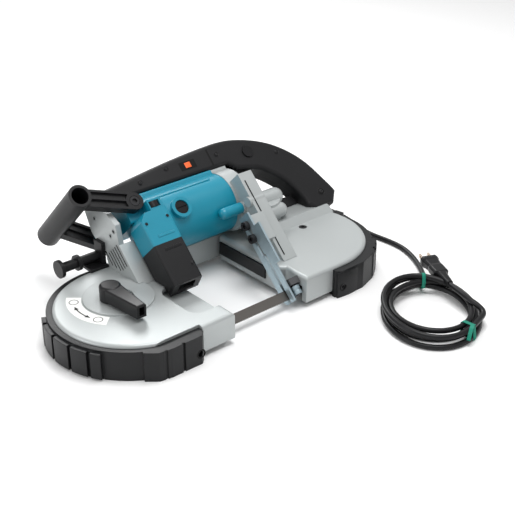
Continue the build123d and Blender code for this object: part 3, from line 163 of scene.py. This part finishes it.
PRONG = surface("plug_blades", (0.62, 0.50, 0.40), 0.9, 0.3, 500, 0.00003, 0.08, edge=0)
# Near-black matte filler of painted shade, put in holes, gaps, grooves and recesses.
PAINTED_SHADE = surface("painted_recess_shade", (0.006, 0.006, 0.006), 0.0, 0.85, 800, 0.00005, 0.1, edge=0)
LENS, _, lens_node = shader("clear_plastic", (0.9, 0.95, 0.97), 0.0, 0.06)
lens_node.inputs["Transmission Weight"].default_value = 0.9
lens_node.inputs["IOR"].default_value = 1.49

NODE_FINISH = {
    SILVER: "idler_housing drive_housing bridge vent_gusset guide_arm gear_case crown_case",
    RUBBER: "idler_bumper drive_bumper throat_strip idler_tyre drive_tyre cord_guard",
    BLADE: "blade",
    ZINC: "stop_plate guide_roller_front guide_roller_back",
    IRON: "blade_guides field_core armature_core brushes",
    ALLOY: "idler_wheel drive_wheel",
    STEEL: "idler_bearings idler_axle tension_slider tension_shaft drive_shaft final_gear layshaft "
           "crown_gear intermediate_shaft reduction_gear gear_bearings armature_shaft armature_bearings",
    COPPER: "commutator field_coils",
    TEAL: "motor_housing lamp_housing",
    BLACK: "lamp_cover handle_front handle_rear aux_grip aux_arms cord_hook fan switch_block trigger",
    SMOOTH_BLACK: "tension_lever brush_caps lamp_switch lock_button plug",
    ORANGE: "speed_dial",
    SCREW: "screws",
    CORD: "cord cord_coil",
    GREEN: "cord_ties",
    LENS: "lamp_lens",
}
for material, names in NODE_FINISH.items():
    for name in names.split():
        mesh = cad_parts[name].data
        mesh.materials.clear()
        mesh.materials.append(material)


# ---------------------------------------------------------------- piece helpers
def piece(name, vertices, faces, material, body="frame", smooth=False, slot=None):
    """New mesh that rides with a body; returns the object."""
    mesh = bpy.data.meshes.new(name)
    mesh.from_pydata([tuple(v) for v in vertices], [], faces)
    mesh.validate()
    mesh.materials.append(material)
    work = bmesh.new()
    work.from_mesh(mesh)
    bmesh.ops.recalc_face_normals(work, faces=work.faces)
    work.to_mesh(mesh)
    work.free()
    for polygon in mesh.polygons:
        polygon.use_smooth = smooth
    thing = bpy.data.objects.new(name, mesh)
    scene.collection.objects.link(thing)
    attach(thing, body)
    return thing


def ease(thing, width, segments=2, angle=35):
    """Rounds the sharp edges of a piece; width is in metres."""
    bevel = thing.modifiers.new("bevel", "BEVEL")
    bevel.width = width
    bevel.segments = segments
    bevel.limit_method = "ANGLE"
    bevel.angle_limit = math.radians(angle)
    return thing


def prism(name, outline, place, material, low, high, **options):
    """Outline of (a, b) points closed between two levels; place(a, b, level) gives each vertex."""
    count = len(outline)
    vertices = [place(a, b, low) for a, b in outline] + [place(a, b, high) for a, b in outline]
    faces = [tuple(range(count)), tuple(range(count, 2 * count))]
    faces += [(i, (i + 1) % count, count + (i + 1) % count, count + i) for i in range(count)]
    return piece(name, vertices, faces, material, **options)


def lathe(name, profile, place, material, steps=40, **options):
    """Profile of (radius, height) points turned round; place(a, b, height) gives each vertex."""
    vertices = []
    for radius, height in profile:
        for step in range(steps):
            angle = 2 * math.pi * step / steps
            vertices.append(place(radius * math.cos(angle), radius * math.sin(angle), height))
    rings = len(profile)
    faces = []
    for ring in range(rings):
        after = (ring + 1) % rings
        for step in range(steps):
            turn = (step + 1) % steps
            low, high = ring * steps, after * steps
            faces.append((low + step, low + turn, high + turn, high + step))
    return piece(name, vertices, faces, material, smooth=True, **options)


def side_face(x, v, s):
    """Placer for things on the front side of the leaning saw: a along x, b up, height towards the viewer."""
    return lambda a, b, height: up(x + a, s - height, v + b)


def arc_points(radius, start, end, steps):
    """Points of an arc round the origin, between two angles in degrees."""
    angles = [math.radians(start + (end - start) * i / steps) for i in range(steps + 1)]
    return [(radius * math.cos(angle), radius * math.sin(angle)) for angle in angles]


# ---------------------------------------------------------------- cord
LEAD = [
    (235, 102.1, 32.2), (235, 112.7, 21.6), (239, 125, 9.5), (248, 137, 4.6), (262, 141, 3.9),
    (277, 137, 3.9), (290, 124, 3.9), (298, 104, 3.9), (302, 78, 3.9), (300, 49, 3.9), (293, 20, 3.9),
    (288, -8, 3.9), (292, -38, 3.9), (293.5, -69, 3.9), (284, -99, 3.9), (270, -125, 3.9),
    (255, -146, 3.9), (240, -163, 3.9),
]
TAIL = [
    (215, -287.2, 17.9), (220, -273, 20.5), (219, -256, 24), (223, -238, 25), (229.6, -215.9, 25),
]
# The coil's turns: a lane across the bundle, 0 inside and 1 outside, and a height, each at a count of turns.
COIL_CENTRE = Vector((177.0, -227.0))
COIL_TURN = math.radians(-41.1)
COIL_START = 95.0
COIL_TURNS = 4.66
COIL_POINTS = 65
COIL_INSIDE = (56.75, 65.75)
COIL_SPREAD = (10.5, 20.5)
LANES = [(0, 0.9), (0.2, -0.1), (0.95, -0.1), (1.3, 0.9), (1.95, 0.95), (2.2, 0.45), (2.85, 0.45),
         (3.05, -0.3), (3.3, -0.15), (3.95, -0.15), (4.2, 0.75), (4.7, 0.75)]
HEIGHTS = [(0, 3.9), (0.75, 3.9), (0.88, 10.5), (1, 12), (1.12, 10.5), (1.4, 3.9), (1.75, 3.9), (1.95, 13),
           (2.08, 18), (2.2, 18), (2.35, 11), (2.8, 10.5), (2.98, 19.5), (3.1, 19.5), (3.25, 18),
           (3.6, 14.5), (3.8, 16), (3.97, 26.5), (4.12, 27), (4.35, 20), (4.5, 16.5), (4.7, 17)]


def between(keys, turns):
    """Value at one count of turns, on the straight runs between the keys."""
    for (low, first), (high, last) in zip(keys, keys[1:]):
        if turns <= high:
            return first + (last - first) * (turns - low) / (high - low)
    return keys[-1][1]


def coil_spot(a, b):
    """Place on the floor of a point given across and along the coil."""
    turned = Matrix.Rotation(COIL_TURN, 2) @ Vector((a, b))
    return COIL_CENTRE.x + turned.x, COIL_CENTRE.y + turned.y


def coil_point(turns):
    """Point of the cord's middle line after a count of turns."""
    lane = between(LANES, turns)
    angle = math.radians(COIL_START + 360 * turns)
    across = (COIL_INSIDE[0] + COIL_SPREAD[0] * lane) * math.cos(angle)
    along = (COIL_INSIDE[1] + COIL_SPREAD[1] * lane) * math.sin(angle)
    return *coil_spot(across, along), between(HEIGHTS, turns)


COIL = [coil_point(COIL_TURNS * (step + 1) / COIL_POINTS) for step in range(COIL_POINTS)]
ROUTE = LEAD + COIL + TAIL
CORD_RADIUS = 0.00375  # metres

cord_curve = bpy.data.curves.new("cord_line", "CURVE")
cord_curve.dimensions = "3D"
spline = cord_curve.splines.new("NURBS")
spline.points.add(len(ROUTE) - 1)
for point, place in zip(spline.points, ROUTE):
    point.co = (*row(*place), 1.0)
spline.order_u = 3
spline.use_endpoint_u = True
spline.resolution_u = 8
cord_curve.bevel_depth = CORD_RADIUS
cord_curve.bevel_resolution = 5
cord_curve.use_fill_caps = True
cord_curve.materials.append(CORD)
cord_line = bpy.data.objects.new("cord_line", cord_curve)
scene.collection.objects.link(cord_line)
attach(cord_line, "frame")
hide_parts("cord", "cord_coil")

# Plug: eight-sided grip, moulded relief and two drilled blades whose holes are filled with painted shade.
PLUG = Matrix.Translation(row(230.0, -215.0, 25.0)) @ Matrix.Rotation(math.radians(65.0), 4, "Z")


def plug_place(a, b, height):
    return PLUG @ Vector((height * 0.001, a * 0.001, b * 0.001))


def loft(name, rings, place, material, **options):
    """Closed skin through rings of equal length; each ring is (height, [(a, b), ...])."""
    count = len(rings[0][1])
    vertices = [place(a, b, height) for height, outline in rings for a, b in outline]
    faces = [tuple(range(count)), tuple(range((len(rings) - 1) * count, len(rings) * count))]
    for ring in range(len(rings) - 1):
        for i in range(count):
            j = (i + 1) % count
            faces.append((ring * count + i, ring * count + j, (ring + 1) * count + j, (ring + 1) * count + i))
    return piece(name, vertices, faces, material, **options)


def octagon(wide, tall, corner):
    return [(wide, -tall + corner), (wide, tall - corner), (wide - corner, tall), (-wide + corner, tall),
            (-wide, tall - corner), (-wide, -tall + corner), (-wide + corner, -tall), (wide - corner, -tall)]


plug_body = loft("plug_grip", [
    (0, octagon(4.6, 4.6, 2.0)), (20, octagon(6.2, 6.0, 2.6)), (27, octagon(7.0, 6.4, 2.6)),
    (29, octagon(11.0, 7.2, 3.2)), (46, octagon(11.0, 7.2, 3.2)), (50, octagon(10.2, 6.6, 3.0)),
    (62, octagon(11.8, 7.4, 3.4)), (66, octagon(13.0, 8.0, 3.4)), (72, octagon(13.0, 8.0, 3.4))],
    plug_place, SMOOTH_BLACK, slot="black_plastic")
ease(plug_body, 0.0008)
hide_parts("plug")
plug_parts = [plug_body]
for side in (-1, 1):
    centre = side * 6.35
    outline = [(-3.2, 72), (3.2, 72), (3.2, 88), (2.2, 90), (-2.2, 90), (-3.2, 88)]
    prong = prism(f"plug_blade_{'left' if side < 0 else 'right'}", outline,
                  lambda b, height, level, centre=centre: plug_place(centre + level, b, height),
                  PRONG, -0.75, 0.75, slot="bright_steel")
    plug_parts.append(prong)
    hole = lathe(f"plug_hole_shade_{'left' if side < 0 else 'right'}",
                 [(1.5, -0.8), (1.5, 0.8), (0.2, 0.8), (0.2, -0.8)],
                 lambda a, b, h, centre=centre: plug_place(centre + h, a, 84 + b),
                 PAINTED_SHADE, 20, slot="black_plastic")
    plug_parts.append(hole)


# Ties: flat bands round the bundle.
def coil_place(a, b, z):
    return row(*coil_spot(a, b), z)


def tie(name, angle, cables, width, lean=0.0):
    """Band drawn tight round the cables, each given by its distance from the coil's centre and its height."""
    turn = math.radians(angle)
    ray = Vector((math.cos(turn), math.sin(turn)))
    along = Vector((-ray.y, ray.x))
    middle = sum(r for r, z in cables) / len(cables)
    vertices = []
    for thick in (4.0, 4.8):
        for side in (-0.5, 0.5):
            for step in range(40):
                a = 2 * math.pi * step / 40
                out, rise = math.cos(a), math.sin(a)
                r, z = max(cables, key=lambda cable: cable[0] * out + cable[1] * rise)
                r, z = r + thick * out, max(z + thick * rise, 0.2)
                place = ray * r + along * (side * width + lean * (r - middle))
                vertices.append(coil_place(place.x, place.y, z))
    faces = []
    for a, b in ((0, 1), (1, 3), (3, 2), (2, 0)):
        for i in range(40):
            j = (i + 1) % 40
            faces.append((a * 40 + i, a * 40 + j, b * 40 + j, b * 40 + i))
    return piece(name, vertices, faces, GREEN, smooth=True, slot="green_tie")


def ribbon(name, points, width, thick, material, slot):
    """Flat strip along level-ish points in the lying frame."""
    vertices = []
    for index, point in enumerate(points):
        before, after = points[max(index - 1, 0)], points[min(index + 1, len(points) - 1)]
        run = Vector((after[0] - before[0], after[1] - before[1])).normalized()
        for side, rise in ((-0.5, 0), (0.5, 0), (0.5, thick), (-0.5, thick)):
            x, y = point[0] - run.y * side * width, point[1] + run.x * side * width
            vertices.append(row(x, y, point[2] + rise))
    last = 4 * (len(points) - 1)
    faces = [(0, 1, 2, 3), (last, last + 1, last + 2, last + 3)]
    for ring in range(0, last, 4):
        faces += [(ring + i, ring + (i + 1) % 4, ring + 4 + (i + 1) % 4, ring + 4 + i) for i in range(4)]
    return piece(name, vertices, faces, material, slot=slot)


ties = [
    tie("tie_far", 92, [(62.4, 18.9), (64.2, 26), (64.7, 11.7), (81.1, 14.6), (85.7, 3.9)], 5.0, 0.06),
    tie("tie_near", -50, [(57.7, 14.8), (58.4, 3.9), (66.7, 10.7), (71, 16.8), (73.6, 3.9)], 5.5, -0.1),
    ribbon("tie_tail", [(178, -299, 20.6), (172, -301, 22.5), (166, -304, 21.0), (161, -306.5, 15.0),
                        (157.5, -307.8, 9.0)], 5.0, 0.8, GREEN, "green_tie")]
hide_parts("cord_ties")
plug_parts += ties


# ---------------------------------------------------------------- details on the front side
def screw_well(name, x, v, s, radius, material=SMOOTH_BLACK):
    """Ring edge, dark well floor of painted shade and a round screw head inside it."""
    place = side_face(x, v, s)
    well = [(radius, -0.2), (radius, 0.25), (radius - 0.8, 0.3), (radius - 1.2, -0.1)]
    dark = [(radius - 0.9, -0.1), (radius - 0.9, 0.12), (0.1, 0.14), (0.1, -0.1)]
    head = [(radius * 0.5, 0.0), (radius * 0.5, 0.3), (radius * 0.35, 0.5), (radius * 0.2, 0.5),
            (radius * 0.15, 0.1)]
    lathe(name + "_well", well, place, material, slot="black_plastic")
    lathe(name + "_painted_shade", dark, place, PAINTED_SHADE, slot="black_plastic")
    lathe(name + "_head", head, place, SCREW, 24, slot="black_screws")


# Faces that the details lie on: s of the sides, x of the vent plate.
MOTOR_S = 1.414
MOTOR_V = 126.0
HANDLE_S = MOTOR_S - 18.0
LAMP_S = -54.0
ARM_S = -66.0
VENT_X = -112.0

for index, (x, v) in enumerate(((-40, 185), (8, 193), (97, 190), (198, 165))):
    screw_well(f"handle_screw_{index}", x, v, HANDLE_S, 4.2)
screw_well("foot_screw", 238, 84, HANDLE_S, 6.0)

# Painted shade in the gap round the speed dial and in the seam between the handle halves.
prism("dial_gap_shade", [(-13.5, -6.5), (13.5, -6.5), (13.5, 6.5), (-13.5, 6.5)],
      side_face(44.0, 188.0, HANDLE_S), PAINTED_SHADE, 0.02, 0.2, slot="black_plastic")
prism("handle_seam_shade", [(-1.4, -13), (1.4, -13), (1.4, 13), (-1.4, 13)],
      side_face(84.0, 188.5, HANDLE_S), PAINTED_SHADE, 0.02, 0.2, slot="black_plastic")

for index, (x, v) in enumerate(((-84.5, 117.7), (-49.5, 119.4), (-48.5, 47.0))):
    screw_well(f"lamp_screw_{index}", x, v, LAMP_S, 3.2, TEAL if index < 2 else SMOOTH_BLACK)
for name, v, material, slot in (("lamp_bar_upper", 95.0, TEAL, "teal_plastic"),
                                ("lamp_bar_lower", 75.0, SMOOTH_BLACK, "black_plastic")):
    bar = prism(name, [(0, 0), (27, 0), (27, 3.6), (0, 3.6)], side_face(-77.0, v, LAMP_S),
                material, -0.1, 0.7, slot=slot)
    ease(bar, 0.0004)
# Painted shade along the groove in the guide arm.
prism("arm_groove_shade", [(0, 0), (1.4, 0), (1.4, 118), (0, 118)], side_face(82.0, 8.0, ARM_S), PAINTED_SHADE, -0.1, 0.75,
      slot="black_plastic")


# The rib's direction out from the motor's axis, forward and up.
RIB_FORWARD, RIB_UP = 0.753, 0.659


def motor_place(a, b, level):
    """Place on the motor's upper front: a out from its axis, b round it, level along x."""
    return up(level, MOTOR_S - RIB_FORWARD * a + RIB_UP * b, MOTOR_V + RIB_UP * a + RIB_FORWARD * b)


rib = prism("motor_rib", [(42.2, -1.7), (43.7, -1.3), (43.7, 1.3), (42.2, 1.7)], motor_place,
            TEAL, -35.0, 55.0, slot="teal_plastic")
ease(rib, 0.0004)

# Vent bolt heads, each with a disc of painted shade in its hole.
for index, (y, z) in enumerate(((91.0, 95.5), (83.0, 105.0), (104.0, 66.0), (128.0, 108.0))):
    def plate(a, b, height, y=y, z=z):
        return row(VENT_X - height, y + a, z + b)
    lathe(f"vent_bolt_{index}", [(3.4, -0.1), (3.4, 0.5), (2.6, 0.6), (2.1, -0.05)], plate, SILVER, 28,
          slot="silver_castings")
    lathe(f"vent_hole_shade_{index}", [(2.2, -0.05), (2.2, 0.1), (0.1, 0.1), (0.1, -0.05)], plate, PAINTED_SHADE, 28,
          slot="black_plastic")

# Dark sheet of painted shade over the vent opening.
prism("vent_opening_shade", [(-7.5, 82), (13, 82), (31, 100), (31, 118), (-7.5, 118)],
      lambda s, v, level: up(level, s, v), PAINTED_SHADE, VENT_X + 1.0, VENT_X + 1.4, slot="black_plastic")

# Dark rings of painted shade in the recesses round the bumper caps.
for index, (x, y, z) in enumerate(((-124.0, -116.0, 15.0), (128.0, -113.0, 15.0))):
    def cap(a, b, height, x=x, y=y, z=z):
        return row(x + a, y - height, z + b)
    lathe(f"bumper_recess_shade_{index}", [(6.6, -0.3), (6.4, 0.2), (5.8, 0.4), (5.0, 0.1), (4.6, -0.4)],
          cap, PAINTED_SHADE, 36, slot="black_rubber")

# Label beside the lever: pale sector with a bent double arrow and two signs.
LABEL_X, LABEL_Y, LABEL_Z = -150.0, 22.0, 45.0
ARROW_RADIUS = 58.7
SIGN_RADIUS = 58.0


def label_place(a, b, height):
    return row(LABEL_X + a, LABEL_Y + b, LABEL_Z + height)


outer = arc_points(68, 139, 222, 32)
inner = arc_points(48.5, 222, 139, 32)
prism("label_sheet", outer + inner, label_place, PAPER, 0.02, 0.16, slot="silver_castings")
arrow = arc_points(ARROW_RADIUS + 0.9, 168, 193, 20) + arc_points(ARROW_RADIUS - 0.9, 193, 168, 20)
prism("label_arrow", arrow, label_place, INK, 0.17, 0.24, slot="black_plastic")
for index, (angle, turn) in enumerate(((167, 77), (194, 284))):
    tip = math.radians(angle)
    bearings = [math.radians(turn + corner) for corner in (0, 140, 220)]
    head = [(ARROW_RADIUS * math.cos(tip) + 4.6 * math.cos(bearing),
             ARROW_RADIUS * math.sin(tip) + 4.6 * math.sin(bearing)) for bearing in bearings]
    prism(f"label_arrow_head_{index}", head, label_place, INK, 0.17, 0.24, slot="black_plastic")
for index, angle in enumerate((151, 209)):
    cx, cy = SIGN_RADIUS * math.cos(math.radians(angle)), SIGN_RADIUS * math.sin(math.radians(angle))
    lathe(f"label_sign_{index}", [(6.4, 0.17), (6.4, 0.24), (5.4, 0.24), (5.4, 0.17)],
          lambda a, b, h, cx=cx, cy=cy: label_place(cx + a, cy + b, h), INK, 32, slot="black_plastic")

# Teeth along the blade's free edge in the throat.
BLADE_S, BLADE_V = -74.01, -45.73
HALF_BLADE_WIDTH = 6.5
HALF_BLADE_THICK = 0.25
TOOTH_PITCH = 1.8
TOOTH_START, TOOTH_END = -60.0, 51.0
teeth_vertices, teeth_faces = [], []
edge = BLADE_V - HALF_BLADE_WIDTH
x = TOOTH_START
while x < TOOTH_END:
    a = len(teeth_vertices)
    for dx, dv in ((0.0, 0.3), (TOOTH_PITCH, 0.3), (TOOTH_PITCH * 0.9, -1.1)):
        for ds in (-HALF_BLADE_THICK, HALF_BLADE_THICK):
            teeth_vertices.append(up(x + dx, BLADE_S + ds, edge + dv))
    teeth_faces += [(a, a + 2, a + 4), (a + 1, a + 3, a + 5), (a, a + 1, a + 3, a + 2),
                    (a + 2, a + 3, a + 5, a + 4), (a + 4, a + 5, a + 1, a)]
    x += TOOTH_PITCH
piece("blade_teeth", teeth_vertices, teeth_faces, BLADE, slot="blade_steel")

# ---------------------------------------------------------------- floor
floor_material, _, floor_node = shader("floor", (0.93, 0.93, 0.93), 0.0, 0.9)
floor_mesh = bpy.data.meshes.new("floor")
floor_mesh.from_pydata([(-6, -6, 0), (6, -6, 0), (6, 6, 0), (-6, 6, 0)], [], [(0, 1, 2, 3)])
floor_mesh.materials.append(floor_material)
floor = bpy.data.objects.new("floor", floor_mesh)
scene.collection.objects.link(floor)
